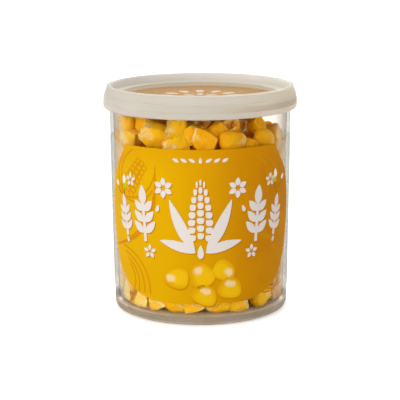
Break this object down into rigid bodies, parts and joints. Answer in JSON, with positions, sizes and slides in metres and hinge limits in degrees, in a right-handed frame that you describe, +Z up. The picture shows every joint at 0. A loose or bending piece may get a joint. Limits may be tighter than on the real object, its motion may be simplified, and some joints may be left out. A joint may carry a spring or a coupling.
{
  "type": "tub of freeze-dried corn",
  "caption": "Round clear plastic tub full of freeze-dried corn kernels, with a milky press-on lid and a clear sleeve that carries a yellow label panel.",
  "frame": {"origin": "centre of the foot, on the plane the tub stands on", "axes": "+Z up along the tub's axis, -Y towards the middle of the yellow label panel, +X to its right"},
  "size_m": [0.0816, 0.0816, 0.0952],
  "materials": {
    "clear_plastic": "clear, glossy, injection moulded",
    "milky_plastic": "milky, half see-through, satin",
    "seal_print": "printed disc, satin",
    "clear_film": "thin clear film, glossy",
    "label_print": "printed film, satin",
    "corn": "dry, smooth skins with pale crumbly cut ends"
  },
  "bodies": {
    "root": {"tub": "clear_plastic", "lid": "milky_plastic", "seal": "seal_print", "label_film": "clear_film", "label_panel": "label_print", "corn": "corn"}
  },
  "joints": []
}
